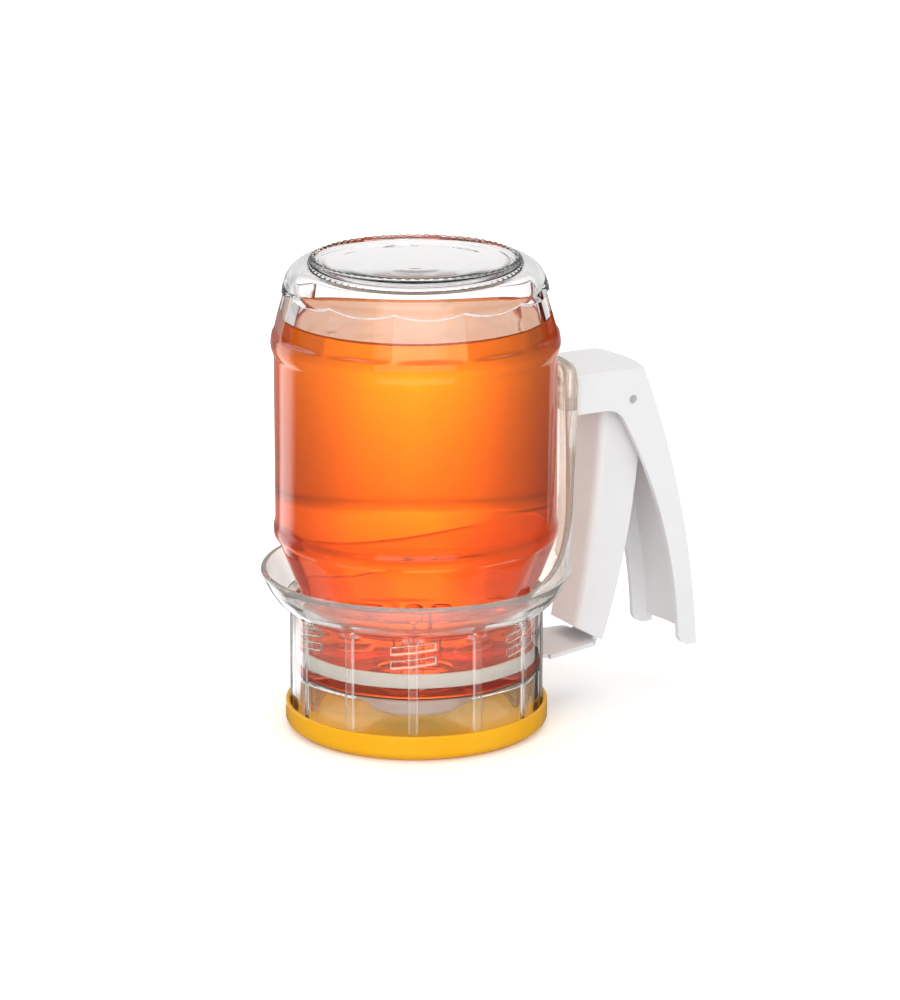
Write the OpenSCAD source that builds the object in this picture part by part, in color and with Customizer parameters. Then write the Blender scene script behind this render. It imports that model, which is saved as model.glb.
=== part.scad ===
// Table honey dispenser: a full glass jar stands neck down in a clear cup with a funnel floor.
// Squeezing the lever against the fixed handle pulls a slide gate from under the outlet.
// Millimetres, +Z up, origin at the centre of the stand's underside, handle towards +X.

/* [Stand] */
// Radius of the stand's outer wall
stand_r = 43.5; // [43.3:0.1:45]
// Height of the stand's outer wall
stand_h = 8.8; // [7:0.1:10]
// Wall and floor thickness of the stand
stand_t = 1.3; // [1:0.1:1.3]

/* [Cup] */
// Outer radius of the clear cup's wall
cup_r = 41.9; // [41.5:0.1:41.9]
// Inner radius of the cup, which takes a jar neck of 82 mm
cup_bore_r = 39.9; // [39.7:0.1:40.2]
// Height of the collar's rim
rim_z = 54.6; // [53:0.1:56]
// Top of the clear strap that carries the handle
strap_top_z = 119.5; // [118:0.5:124]
// Half width of the strap at its top
strap_half_w = 17; // [16.5:0.5:20]
// Number of flat panels round the wall
panels = 12; // [8:1:16]
// Number of thread lugs inside the cup
lugs = 6; // [4:1:6]
// Underside of the funnel floor
floor_z = 20.35; // [20.35:0.05:20.6]

/* [Outlet] */
// Radius of the outlet bore
outlet_r = 10; // [8:0.5:10]
// Outer radius of the nozzle
nozzle_r = 19.5; // [19.3:0.1:20]
// Height of the nozzle's lower face
nozzle_z = 8; // [7:0.5:10]

/* [Jar] */
// Height of the jar's mouth
mouth_z = 26.5; // [26.5:0.1:27]
// Radius of the jar's straight wall
jar_r = 46.3; // [46:0.1:46.5]
// Height of the jar's bearing ring, at the top as the jar stands on its neck
jar_top_z = 158.5; // [157.5:0.5:160]
// Glass thickness of the jar's wall
glass_t = 2.6; // [2:0.1:3.2]
// Number of flats round both shoulders
flats = 12; // [8:1:16]
// Turn of the jar's flats from the cup's panels
jar_turn = -7.5; // [-15:0.5:15]
// Level of the honey
honey_z = 137.7; // [100:0.1:140]

/* [Handle] */
// Width of the fixed handle
handle_w = 31.6; // [31:0.2:33]
// Wall thickness of the fixed handle
handle_t = 2; // [1.8:0.1:2.2]
// Height of the handle's top face
arm_z = 115.5; // [115:0.1:116.5]
// Height of the handle's lower end
blade_z = 16.3; // [12:0.1:20]
// Outward crown of the handle's palm face
crown = 2.5; // [1:0.1:3]

/* [Lever and gate] */
// Distance of the hinge pin from the axis
pin_x = 73.6; // [73:0.1:74]
// Height of the hinge pin
pin_z = 105; // [104.5:0.1:105.5]
// Radius of the hinge pin
pin_r = 1.5; // [1.2:0.1:1.6]
// Half width of the lever, which is a channel that swings into the handle's channel
lever_half_w = 9.3; // [9:0.1:10]
// Wall thickness of the lever
lever_t = 1.9; // [1.6:0.1:2]
// Thickness of the slide gate
gate_t = 1.4; // [1.2:0.1:1.5]
// Turns of the return spring
spring_turns = 6; // [4:1:6]
// Wire radius of the return spring
wire_r = 0.45; // [0.35:0.05:0.45]

/* [Hidden] */
$fn = 96;

big = 400;
gap = 0.1;                       // clearance between pieces that lie against each other
yellow = [1, 0.78, 0.2];
clear = [0.96, 0.93, 0.88, 0.5];
white = [0.95, 0.95, 0.96];
steel = [0.7, 0.7, 0.72];
glass = [0.85, 0.93, 0.93, 0.4];
amber = [0.95, 0.45, 0.05, 0.8];

// stand
stand_ledge_r = 38.6;            // inner radius of the ledge that carries the cup
stand_ledge_z = 2.6;
stand_edge_r = 2.4;              // rounding of the lower outer edge

// cup and collar
cup_z = stand_ledge_z + 0.05;
flat_d = 40.95;                  // distance of the flat panels from the axis
panel_top_z = 43;
panel_edge_r = 3;
gasket_z = 24.2;                 // seat of the gasket, at the funnel floor's rim
gasket_in_r = 34.8;
gasket_lip_r = 38.8;             // lip that surrounds the jar's neck
gasket_lip_z = 29;
funnel_z = 22.2;                 // funnel floor at the outlet
collar_in_r = 49.3;              // inner radius of the collar's rim and of the strap
rim_out_r = 51.3;
strap_out_r = 54;                // outer radius of the strap at its top
strap_flare = 31;                // how far the gusset spreads beside the strap at the rim
strap_fall = 24;                 // height over which the gusset narrows
strap_corner_r = 8;
lug_w = 14.5;
lug_h = 2.4;
lug_pitch = 4.7;
lug_z = 31.6;
lug_in_r = 39.15;
slot_half_w = 12.8;
shelf_z = 103;                   // shelf on the strap that the handle's arm slides over
shelf_h = 4;
shelf_x = 65;
shelf_half_w = 13.3;

// gate, its channel and its seal
gate_z = 18.85;
gate_half_w = 12.5;
gate_in_x = -12.2;
gate_step_x = 43.2;
gate_wide = 14.5;                // half width beside the cup and at the tab
gate_narrow = 11;
gate_end_x = 63.6;
gate_rise = 2.4;                 // slope of the gate's outer part, degrees
gate_end_z = gate_z + (gate_end_x - gate_step_x - 1) * tan(gate_rise);
seal_r = 12.1;
seal_wire_r = 0.55;
groove_w = 0.7;                  // half width of the seal's groove
groove_h = 1.1;
nozzle_screw_r = 1;
nozzle_screw_top = 21.7;         // the screws end inside the funnel floor
nozzle_screw_at = [7.5, 15.4];

// jar
neck_r = 38.4;
ridge_r = 47.3;
thread_r = 39.4;

// handle
blade_c = [-206.2, 0.3];         // centre of the palm face's arc
blade_r = 306.4;
lip_c = [-81.8, 12.6];           // centre of the side walls' inner edge
lip_r = 174.5;
arm_under_z = 102.2;
arm_fillet_r = 8;
blade_corner_r = 5;
web_z = 19;                      // lower edge of the palm wall between the side walls
crown_r = ((handle_w / 2) * (handle_w / 2) + crown * crown) / (2 * crown);
handle_screw_x = 59.8;
handle_screw_y = 7;

// lever, whose web faces the fingers
lever_c = [-456.6, 131.4];       // centre of the web's arc
lever_face_r = 523;
lever_back_c = [-184.4, 106.4];  // centre of the side walls' rear edge
lever_back_r = 265;
lever_foot = [56, 26.6];         // lower edge of the web and of the side walls
lever_toe = [67.3, 20];
lever_corner_r = 3;
lever_web_top_z = 101;
ear_r = 5;
fork_half_w = 6.9;
fork_wall = 1.4;
fork_slot = 3.2;
bead_r = 1.2;
bead_x = 65;
bead_z = 25.4;
fork_lean = atan((pin_x - bead_x) / (pin_z - bead_z));

// return spring
coil_r = 2.6;
coil_pitch = 1.35;
coil_steps = 8;
coil_first = 170;                // angle at which the coil starts
coil_turns = spring_turns + 0.375;
leg_lever = [66.95, -4.3, 87];   // end of the leg on the lever's back
leg_blade = [87.4, 4.3, 87];     // end of the leg on the handle's palm wall

// Points of an arc from one angle to another
function arc(c, r, a0, a1, n) = [
  for (i = [0:n]) let(a = a0 + (a1 - a0) * i / n) c + r * [cos(a), sin(a)]];

// A ring with the given outline of [radius, height] points
module ring(points) rotate_extrude() polygon(points);

// A side view of [x, z] points, drawn through a width along Y
module side(width) rotate([90, 0, 0]) linear_extrude(width, center = true) children();

// A front view of [y, z] points, drawn from the axis out along +X
module front(length) rotate([90, 0, 90]) linear_extrude(length) children();

// Children repeated round the axis
module around(n, first = 0) for (i = [0:n - 1]) rotate(first + i * 360 / n) children();

// ---------------------------------------------------------------- stand

module drip_stand() color(yellow)
  ring(concat([[0, 0]],
              arc([stand_r - stand_edge_r, stand_edge_r], stand_edge_r, -90, 0, 8),
              [[stand_r, stand_h - 0.4], [stand_r - 0.4, stand_h],
               [stand_r - stand_t + 0.2, stand_h], [stand_r - stand_t, stand_h - 0.4],
               [stand_r - stand_t, stand_ledge_z], [stand_ledge_r, stand_ledge_z],
               [stand_ledge_r - 0.8, stand_t + 0.7], [0, stand_t + 0.5]]));

// ---------------------------------------------------------------- clear cup

// The wall, the funnel floor, the collar and the strap before the strap is cut to its outline
module cup_revolve()
  ring(concat([[cup_bore_r, cup_z], [cup_r, cup_z], [cup_r, 40.5]],
              [[43.5, 42], [46.5, 44.9], [48.8, 48.2], [50.4, 51.6], [rim_out_r, rim_z],
               [51, 62], [51.7, 72], [51.9, 84], [53.4, 103], [strap_out_r, strap_top_z],
               [collar_in_r, strap_top_z], [collar_in_r, rim_z], [48.4, 52.2], [46.9, 49.3],
               [44.8, 46.6], [42, 43.9], [40.4, 42.2], [cup_bore_r, 40.5],
               [cup_bore_r, gasket_z], [gasket_in_r - 0.3, gasket_z], [outlet_r + 0.2, funnel_z],
               [outlet_r, funnel_z - 0.2], [outlet_r, floor_z], [cup_bore_r, floor_z]]));

// Half width of the strap and its gusset at a height
function strap_w(z) = strap_half_w + strap_flare * exp(-(z - rim_z) / strap_fall);

module strap_outline() {
  steps = 12;
  corner_z = strap_top_z - strap_corner_r;
  edge = concat([for (i = [0:steps]) let(z = rim_z + (corner_z - rim_z) * i / steps) [strap_w(z), z]],
                arc([strap_w(corner_z) - strap_corner_r, corner_z], strap_corner_r, 15, 90, 5));
  polygon(concat([[strap_w(rim_z), rim_z - 1]], edge,
                 [for (i = [len(edge) - 1:-1:0]) [-edge[i][0], edge[i][1]]],
                 [[-strap_w(rim_z), rim_z - 1]]));
}

module wall_panels()
  around(panels, 180 / panels)
    translate([flat_d, 0, 0])
      front(5) {
        half = flat_d * tan(180 / panels);
        polygon(concat([[-half, cup_z - 1], [half, cup_z - 1]],
                       arc([half - panel_edge_r, panel_top_z - panel_edge_r], panel_edge_r, 0, 90, 4),
                       arc([panel_edge_r - half, panel_top_z - panel_edge_r], panel_edge_r, 90, 180, 4)));
      }

module thread_lugs()
  difference() {
    around(lugs)
      for (i = [0:1])
        translate([cup_bore_r - 1, -lug_w / 2, lug_z + i * lug_pitch]) cube([2, lug_w, lug_h]);
    cylinder(h = 100, r = lug_in_r);
    ring([[cup_bore_r + 0.5, 20], [cup_bore_r + 9, 20], [cup_bore_r + 9, 50], [cup_bore_r + 0.5, 50]]);
  }

// Shelf with two webs, over which the handle's arm slides
module handle_shelf()
  difference() {
    union() {
      translate([49, -shelf_half_w, shelf_z]) cube([shelf_x - 49, 2 * shelf_half_w, shelf_h]);
      for (s = [-1, 1])
        side_web(s);
    }
    cylinder(h = 200, r = collar_in_r + 1);
    for (s = [-1, 1])
      translate([handle_screw_x, s * handle_screw_y, 0]) cylinder(h = 200, r = 1.5);
  }

module side_web(s)
  translate([0, s * (shelf_half_w - 1), 0])
    side(2)
      polygon([[49, shelf_z], [shelf_x, shelf_z], [shelf_x, shelf_z + 5], [58, arm_z - handle_t - 0.4],
               [49, arm_z - handle_t - 0.4]]);

module clear_body() color(clear)
  difference() {
    union() {
      intersection() {
        cup_revolve();
        union() {
          translate([0, 0, -1]) cylinder(h = rim_z + 1, r = big / 2);
          front(big / 2) strap_outline();
        }
      }
      thread_lugs();
      handle_shelf();
    }
    wall_panels();
    translate([36, -slot_half_w, gate_z - gap]) cube([10, 2 * slot_half_w, floor_z - gate_z + gap]);
    ring([[seal_r - groove_w, floor_z - 1], [seal_r + groove_w, floor_z - 1],
          [seal_r + groove_w, floor_z + groove_h], [seal_r - groove_w, floor_z + groove_h]]);
    nozzle_screw_places(0) cylinder(h = nozzle_screw_top + 0.2, r = nozzle_screw_r);
  }

module mouth_gasket() color(white)
  ring([[gasket_in_r, gasket_z], [cup_bore_r - gap, gasket_z], [cup_bore_r - gap, gasket_lip_z],
        [gasket_lip_r, gasket_lip_z], [gasket_lip_r, mouth_z - 0.2], [gasket_in_r, mouth_z - 0.2]]);

// ---------------------------------------------------------------- outlet

module nozzle_screw_places(z)
  for (i = [-1, 1], j = [-1, 1])
    translate([i * nozzle_screw_at[0], j * nozzle_screw_at[1], z]) children();

module outlet_seal() color(steel)
  rotate_extrude() translate([seal_r, floor_z - 0.05 + seal_wire_r]) circle(seal_wire_r, $fn = 24);

module outlet_nozzle() color(white)
  difference() {
    ring(concat([[outlet_r, nozzle_z + 0.5], [outlet_r + 0.5, nozzle_z]],
                arc([nozzle_r - 1.5, nozzle_z + 1.5], 1.5, -90, 0, 5),
                [[nozzle_r, floor_z], [outlet_r, floor_z]]));
    translate([gate_in_x - 0.6, -slot_half_w, gate_z - gap])
      cube([big / 2, 2 * slot_half_w, 10]);
    nozzle_screw_places(0) cylinder(h = nozzle_z + 1.9, r = 2.1);
    nozzle_screw_places(0) cylinder(h = 30, r = nozzle_screw_r);
  }

module nozzle_screws() color(steel)
  nozzle_screw_places(nozzle_z + 0.3)
    difference() {
      union() {
        cylinder(h = 1.6, r = 1.9);
        cylinder(h = nozzle_screw_top - nozzle_z - 0.3, r = nozzle_screw_r);
      }
      for (a = [0, 90]) rotate(a) translate([-1.2, -0.3, -1]) cube([2.4, 0.6, 1.7]);
    }

module slide_gate() color(white) {
  difference() {
    union() {
      translate([0, 0, gate_z]) cylinder(h = gate_t, r = -gate_in_x);
      translate([0, -gate_half_w, gate_z]) cube([gate_step_x + 1, 2 * gate_half_w, gate_t]);
    }
    // the round end is flush with the straight sides
    for (s = [-1, 1])
      translate([-20, s * (gate_half_w + 5) - 5, gate_z - 1]) cube([40, 10, gate_t + 2]);
  }
  // sloping outer part, wider than the slot so that it stops against the wall
  intersection() {
    side(2 * gate_wide)
      polygon([[gate_step_x, gate_z], [gate_step_x + 1, gate_z], [gate_end_x, gate_end_z],
               [gate_end_x, gate_end_z + gate_t], [gate_step_x + 1, gate_z + gate_t],
               [gate_step_x, gate_z + gate_t]]);
    linear_extrude(100)
      for (s = [0, 1])
        mirror([0, s])
          polygon([[gate_step_x, -0.1], [gate_step_x, gate_wide], [gate_end_x - 1.5, gate_narrow],
                   [gate_end_x, gate_narrow - 1.5], [gate_end_x, -0.1]]);
  }
  // tab and round bead that the lever's fork holds
  side(2 * fork_half_w)
    polygon([[gate_end_x - 1, gate_end_z], [bead_x + 0.7, gate_end_z], [bead_x + 0.7, bead_z],
             [bead_x - 0.7, bead_z], [bead_x - 0.7, gate_end_z + gate_t],
             [gate_end_x - 1, gate_end_z + gate_t]]);
  translate([bead_x, 0, bead_z])
    rotate([90, 0, 0])
      cylinder(h = 2 * fork_half_w, r = bead_r, center = true);
}

// ---------------------------------------------------------------- handle

// The crowned outside of the handle as a ring about the palm face's centre, shrunk by a thickness
module blade_block(t, half_w)
  translate([blade_c[0], 0, blade_c[1]])
    rotate([90, 0, 0])
      rotate_extrude(angle = 26, $fn = 360)
        intersection() {
          translate([blade_r - 60, -half_w]) square([64, 2 * half_w]);
          translate([blade_r + crown - crown_r, 0]) circle(crown_r - t, $fn = 180);
        }

// Side view of the handle's walls: an arm and a blade with a curved inner edge
module handle_outline() {
  fillet = [lip_c[0] + sqrt(pow(lip_r - arm_fillet_r, 2) - pow(arm_under_z - arm_fillet_r - lip_c[1], 2)),
            arm_under_z - arm_fillet_r];
  out = (fillet - lip_c) / norm(fillet - lip_c);
  difference() {
    translate([40, blade_z]) square([80, arm_z - blade_z]);
    difference() {
      intersection() {
        translate(lip_c) circle(lip_r, $fn = 360);
        translate([0, -10]) square([120, arm_under_z + 10]);
      }
      polygon([fillet, [fillet[0], arm_under_z + 2], fillet + [20, arm_fillet_r + 2], fillet + 20 * out]);
    }
    translate(fillet) circle(arm_fillet_r);
    difference() {
      translate([85, 0]) square([97.3 - 85, blade_z + blade_corner_r]);
      translate([97.3, blade_z + blade_corner_r]) circle(blade_corner_r);
    }
  }
}

module outer_handle() color(white)
  difference() {
    union() {
      difference() {
        intersection() {
          side(handle_w) handle_outline();
          blade_block(0, handle_w / 2);
        }
        intersection() {
          blade_block(handle_t, handle_w / 2 - handle_t);
          translate([0, -big / 2, -1]) cube([big, big, arm_z - handle_t + 1]);
        }
        translate([90, -(handle_w / 2 - handle_t), 0]) cube([30, handle_w - 2 * handle_t, web_z]);
      }
      for (s = [-1, 1])
        translate([handle_screw_x, s * handle_screw_y, shelf_z + shelf_h + gap])
          cylinder(h = arm_z - 1 - shelf_z - shelf_h - gap, r = 3);
    }
    cylinder(h = 200, r = strap_out_r + 0.05);
    translate([pin_x, 0, pin_z]) rotate([90, 0, 0]) cylinder(h = 60, r = pin_r, center = true);
    for (s = [-1, 1])
      translate([handle_screw_x, s * handle_screw_y, 0]) cylinder(h = arm_z - 1.2, r = 1.2);
  }

module handle_screws() color(steel)
  for (s = [-1, 1])
    translate([handle_screw_x, s * handle_screw_y, shelf_z - 1.7])
      difference() {
        union() {
          cylinder(h = 1.7, r = 2.4);
          cylinder(h = 12, r = 1.2);
        }
        for (a = [0, 90]) rotate(a) translate([-1.5, -0.35, -1]) cube([3, 0.7, 1.8]);
      }

module hinge_pin() color(steel)
  translate([pin_x, 0, pin_z])
    rotate([90, 0, 0])
      cylinder(h = handle_w - 0.6, r = pin_r, center = true);

// ---------------------------------------------------------------- lever

// Section of the lever at a distance from its outside, as [distance from the arc's centre, y]
module lever_section(inset, depth) {
  w = lever_half_w - inset;
  r = lever_corner_r - inset;
  x = lever_face_r + inset;
  translate([x + r, -w]) square([depth, 2 * w]);
  translate([x, r - w]) square([r + 1, 2 * (w - r)]);
  for (s = [-1, 1]) translate([x + r, s * (w - r)]) circle(r);
}

// Channel bent about the web's centre, open towards the handle
module lever_shell()
  translate([lever_c[0], 0, lever_c[1]])
    rotate([90, 0, 0])
      rotate(-14)
        rotate_extrude(angle = 14, $fn = 360)
          difference() {
            lever_section(0, 30);
            lever_section(lever_t, 40);
          }

// Side view of the lever: a slanting foot, a curved rear edge and round ears about the pin
module lever_outline() {
  run = lever_toe - lever_foot;
  intersection() {
    translate(lever_back_c) circle(lever_back_r, $fn = 360);
    polygon([lever_foot - run, lever_toe + run, [95, 13.4], [95, 88], [80.2, 88],
             [pin_x + ear_r, pin_z], [pin_x, pin_z], [pin_x - ear_r * sin(45), pin_z + ear_r * sin(45)],
             [66, lever_web_top_z], lever_foot + [-11, lever_web_top_z - lever_foot[1]]]);
  }
  translate([pin_x, pin_z]) circle(ear_r);
}

// Two cross walls beside the gate's bead and the bridge over it, placed at the bead
module lever_fork() {
  for (x = [-fork_slot / 2 - fork_wall, fork_slot / 2])
    translate([x, -lever_half_w + 1, -2]) cube([fork_wall, 2 * lever_half_w - 2, 7]);
  translate([-fork_slot / 2 - fork_wall, -lever_half_w + 1, 2.6])
    cube([fork_slot + 2 * fork_wall, 2 * lever_half_w - 2, 2.4]);
}

module trigger_lever() color(white)
  difference() {
    union() {
      intersection() {
        lever_shell();
        side(2 * lever_half_w + 1) lever_outline();
      }
      translate([bead_x, 0, bead_z]) rotate([0, fork_lean, 0]) lever_fork();
    }
    translate([pin_x, 0, pin_z]) rotate([90, 0, 0]) cylinder(h = 60, r = pin_r + 0.05, center = true);
  }

// ---------------------------------------------------------------- spring

function coil_point(i) =
  let(a = coil_first - 360 * i / coil_steps)
  [pin_x + coil_r * cos(a), coil_pitch * (i / coil_steps - coil_turns / 2), pin_z + coil_r * sin(a)];
spring_path = concat([leg_lever, (leg_lever + coil_point(0)) / 2],
                     [for (i = [0:coil_steps * coil_turns]) coil_point(i)],
                     [(leg_blade + coil_point(coil_steps * coil_turns)) / 2, leg_blade]);

function unit(v) = v / norm(v);
function along(path, i) = unit(path[min(i + 1, len(path) - 1)] - path[max(i - 1, 0)]);

// Rings of a tube of n sides along a path
function tube_points(path, r, n) = [
  for (i = [0:len(path) - 1])
    let(t = along(path, i), u = unit(cross(t, [0.2, 1, 0.1])), v = cross(t, u))
    for (k = [0:n - 1]) path[i] + r * (u * cos(360 * k / n) + v * sin(360 * k / n))];

function tube_faces(m, n) = concat(
  [for (i = [0:m - 2], k = [0:n - 1]) [i * n + k, (i + 1) * n + k, (i + 1) * n + (k + 1) % n]],
  [for (i = [0:m - 2], k = [0:n - 1]) [i * n + k, (i + 1) * n + (k + 1) % n, i * n + (k + 1) % n]],
  [for (k = [1:n - 2]) [0, k, k + 1]],
  [for (k = [1:n - 2]) [(m - 1) * n, (m - 1) * n + k + 1, (m - 1) * n + k]]);

module return_spring() color(steel) {
  polyhedron(tube_points(spring_path, wire_r, 6), tube_faces(len(spring_path), 6));
  gaps = [for (i = [0:len(spring_path) - 1], j = [i + 5:1:len(spring_path) - 1])
          norm(spring_path[i] - spring_path[j]) - 2 * wire_r];
  echo(spring_least_gap = min(gaps));
}

// ---------------------------------------------------------------- jar and honey

// Inside of the jar from the honey's level line up or down, as [radius, height] points
jar_inside = [[35.6, mouth_z], [35.6, 46], [36.9, 49.4], [39, 53.4], [40.8, 58], [42.6, 63],
              [jar_r - glass_t, 67.5], [jar_r - glass_t, 133], [jar_r - glass_t - 1, 138],
              [41.6, 143], [40.5, 146.6], [39, 149.2], [36.8, 150.9],
              [34, 151.4], [24, 150.2], [0, 149.4]];

module jar_blank()
  ring(concat([[35.6, mouth_z], [36.2, mouth_z - 0.1], [37.9, mouth_z], [neck_r, mouth_z + 1],
               [neck_r, 45], [39, 47.4], [40.4, 50.4], [41.8, 53.1], [43.4, 57.4], [45.2, 62],
               [46.4, 65.4], [46.9, 66.8], [46.9, 69], [jar_r, 70.6], [jar_r, 126.6], [46.8, 127.6],
               [ridge_r, 129.2], [ridge_r, 131.2], [46.9, 133]],
              [[45.8, 139], [44.4, 143], [43.3, 146.5]],
              arc([33.5, jar_top_z - 10.6], 9.6, 5, 76, 9),
              [[35.4, jar_top_z - 0.4], [35, jar_top_z], [34.2, jar_top_z - 0.3], [33.2, jar_top_z - 1.4],
               [31.6, jar_top_z - 3], [24, jar_top_z - 3.7], [0, jar_top_z - 4.5]],
              [for (i = [len(jar_inside) - 1:-1:0]) jar_inside[i]]));

// Flats of the upper shoulder: cut to a tapered prism, under a slanting edge that scallops them
module upper_flats()
  difference() {
    ring([[40, 133.6], [60, 133.6], [60, 174.4], [42.6, 146.6], [40, 142.4]]);
    rotate(jar_turn)
      translate([0, 0, 133])
        cylinder(h = 17, r1 = 46.15 / cos(180 / flats), r2 = 42 / cos(180 / flats), $fn = flats);
  }

// Flats of the lower shoulder
module lower_flats()
  difference() {
    ring([[38, 46], [60, 46], [60, 65.6], [38, 65.6]]);
    rotate(jar_turn)
      translate([0, 0, 44])
        cylinder(h = 24, r1 = 37.2 / cos(180 / flats), r2 = 46.6 / cos(180 / flats), $fn = flats);
  }

// Thread starts of the neck, turned clear of the cup's lugs so that the jar lifts straight out
module thread_starts()
  intersection() {
    around(lugs, 180 / lugs)
      translate([neck_r, 0, 36])
        rotate([8, 0, 0]) cube([4, 12, 1.8], center = true);
    cylinder(h = 100, r = thread_r);
    difference() {
      cylinder(h = 100, r = 60);
      translate([0, 0, -1]) cylinder(h = 102, r = neck_r - 0.8);
    }
  }

module glass_jar() color(glass) {
  difference() {
    jar_blank();
    upper_flats();
    lower_flats();
  }
  thread_starts();
}

module honey() color(amber)
  intersection() {
    ring(concat([[0, floor_z + 0.05], [outlet_r - 0.2, floor_z + 0.05], [outlet_r - 0.2, funnel_z + 0.1],
                 [gasket_in_r - 0.5, gasket_z + 0.1], [gasket_in_r - 0.2, mouth_z]],
                [for (p = jar_inside) if (p[0] > 0) p - [gap, 0]], [[0, 149.4]]));
    cylinder(h = honey_z, r = 100);
  }

drip_stand();
clear_body();
mouth_gasket();
outlet_seal();
outlet_nozzle();
nozzle_screws();
slide_gate();
outer_handle();
handle_screws();
trigger_lever();
hinge_pin();
return_spring();
glass_jar();
honey();
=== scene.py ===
import math

import bpy
from mathutils import Matrix, Vector


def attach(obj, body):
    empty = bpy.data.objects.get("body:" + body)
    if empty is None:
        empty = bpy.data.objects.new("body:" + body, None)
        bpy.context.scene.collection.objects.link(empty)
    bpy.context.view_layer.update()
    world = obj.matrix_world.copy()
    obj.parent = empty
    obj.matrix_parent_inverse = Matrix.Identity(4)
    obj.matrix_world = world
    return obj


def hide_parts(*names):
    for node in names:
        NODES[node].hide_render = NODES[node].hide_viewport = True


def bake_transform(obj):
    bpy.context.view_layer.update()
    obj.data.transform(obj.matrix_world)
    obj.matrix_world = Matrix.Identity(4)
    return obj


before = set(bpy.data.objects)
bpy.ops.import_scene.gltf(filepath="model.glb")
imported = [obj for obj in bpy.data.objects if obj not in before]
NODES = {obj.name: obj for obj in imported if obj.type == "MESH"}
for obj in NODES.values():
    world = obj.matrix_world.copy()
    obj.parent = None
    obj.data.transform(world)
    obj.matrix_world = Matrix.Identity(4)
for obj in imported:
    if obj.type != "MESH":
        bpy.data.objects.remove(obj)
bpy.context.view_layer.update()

# ------------------------------------------------------------------ sizes shared by materials and meshes

# Sizes of pieces are in millimetres, and outlines are lists of (distance from the axis, height).
MM = 0.001
HONEY_LEVEL = 137.7
CUP_R = 41.9               # outside of the cup's wall
CUP_INSIDE = 39.9
LUG_BOTTOM = 30.0          # the inner wall is plain below this level
PANEL_BOTTOM = 6           # lower and upper edge of the flat panels outside
PANEL_TOP = 43
DISH_FLOOR_R = 39.2        # the stand's floor is thin up to here

# ------------------------------------------------------------------ camera

AZIMUTH = math.radians(-29.0)
PITCH = math.radians(15.58)
FOCAL_PX = 4262.0            # focal length in pixels of the 900 x 1000 frame
DISTANCE = 1.4
TARGET = Vector((0, 0, 0.08))
TARGET_PX = (-34.0, 10.6)    # where the target lies from the frame's centre, right and up

back = Vector((math.sin(AZIMUTH) * math.cos(PITCH),
               -math.cos(AZIMUTH) * math.cos(PITCH), math.sin(PITCH)))
right = Vector((math.cos(AZIMUTH), math.sin(AZIMUTH), 0))
up = right.cross(-back)
ray = (-back * FOCAL_PX + right * TARGET_PX[0] + up * TARGET_PX[1]).normalized()
cam_data = bpy.data.cameras.new("camera")
cam = bpy.data.objects.new("camera", cam_data)
bpy.context.scene.collection.objects.link(cam)
cam_data.sensor_fit = "VERTICAL"
cam_data.sensor_height = 36.0
cam_data.sensor_width = 36.0
cam_data.lens = FOCAL_PX / 1000.0 * 36.0
cam_data.clip_start = 0.05
cam_data.clip_end = 50.0
cam.matrix_world = Matrix((
    (right.x, up.x, back.x, 0), (right.y, up.y, back.y, 0),
    (right.z, up.z, back.z, 0), (0, 0, 0, 1)))
cam.location = TARGET - ray * DISTANCE
bpy.context.scene.camera = cam
bpy.context.scene.view_settings.view_transform = "Standard"

# ------------------------------------------------------------------ materials


def node_of(m, kind):
    return next(n for n in m.node_tree.nodes if n.type == kind)


def new_material(name):
    m = bpy.data.materials.new(name)
    m.use_nodes = True
    return m, m.node_tree, node_of(m, "BSDF_PRINCIPLED")


def link(nt, a, b):
    nt.links.new(a, b)


def noise(nt, scale, detail=2.0):
    where = nt.nodes.new("ShaderNodeTexCoord")
    n = nt.nodes.new("ShaderNodeTexNoise")
    n.inputs["Scale"].default_value = scale
    n.inputs["Detail"].default_value = detail
    link(nt, where.outputs["Object"], n.inputs["Vector"])
    return n.outputs["Fac"]


def ramp(nt, fac, lo, hi, a=0.25, b=0.75):
    """lo where fac is a or less, hi where it is b or more, and even in between."""
    r = nt.nodes.new("ShaderNodeMapRange")
    r.inputs["From Min"].default_value = a
    r.inputs["From Max"].default_value = b
    r.inputs["To Min"].default_value = lo
    r.inputs["To Max"].default_value = hi
    link(nt, fac, r.inputs["Value"])
    return r.outputs["Result"]


def ramp_mm(nt, size, lo, hi, a, b):
    """The same with a and b in millimetres, for a size in metres."""
    return ramp(nt, size, lo, hi, a * MM, b * MM)


def math_node(nt, operation, a, b):
    """The result of one operation; a and b are sockets or numbers."""
    n = nt.nodes.new("ShaderNodeMath")
    n.operation = operation
    for socket, value in zip(n.inputs, (a, b)):
        if isinstance(value, float):
            socket.default_value = value
        else:
            link(nt, value, socket)
    return n.outputs[0]


def times(nt, *values):
    out = values[0]
    for value in values[1:]:
        out = math_node(nt, "MULTIPLY", out, value)
    return out


def bump(nt, height, strength, distance):
    b = nt.nodes.new("ShaderNodeBump")
    b.inputs["Strength"].default_value = strength
    b.inputs["Distance"].default_value = distance
    link(nt, height, b.inputs["Height"])
    return b.outputs["Normal"]


def mix_colours(nt, fac, a, b):
    """a where fac is 0 and b where it is 1; each is a socket or a colour."""
    mix = nt.nodes.new("ShaderNodeMix")
    mix.data_type = "RGBA"
    link(nt, fac, mix.inputs["Factor"])
    for socket, value in (("A", a), ("B", b)):
        if isinstance(value, tuple):
            mix.inputs[socket].default_value = (*value, 1)
        else:
            link(nt, value, mix.inputs[socket])
    return mix.outputs["Result"]


def tint(nt, fac, dark, light):
    return mix_colours(nt, ramp(nt, fac, 0.0, 1.0), dark, light)


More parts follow.
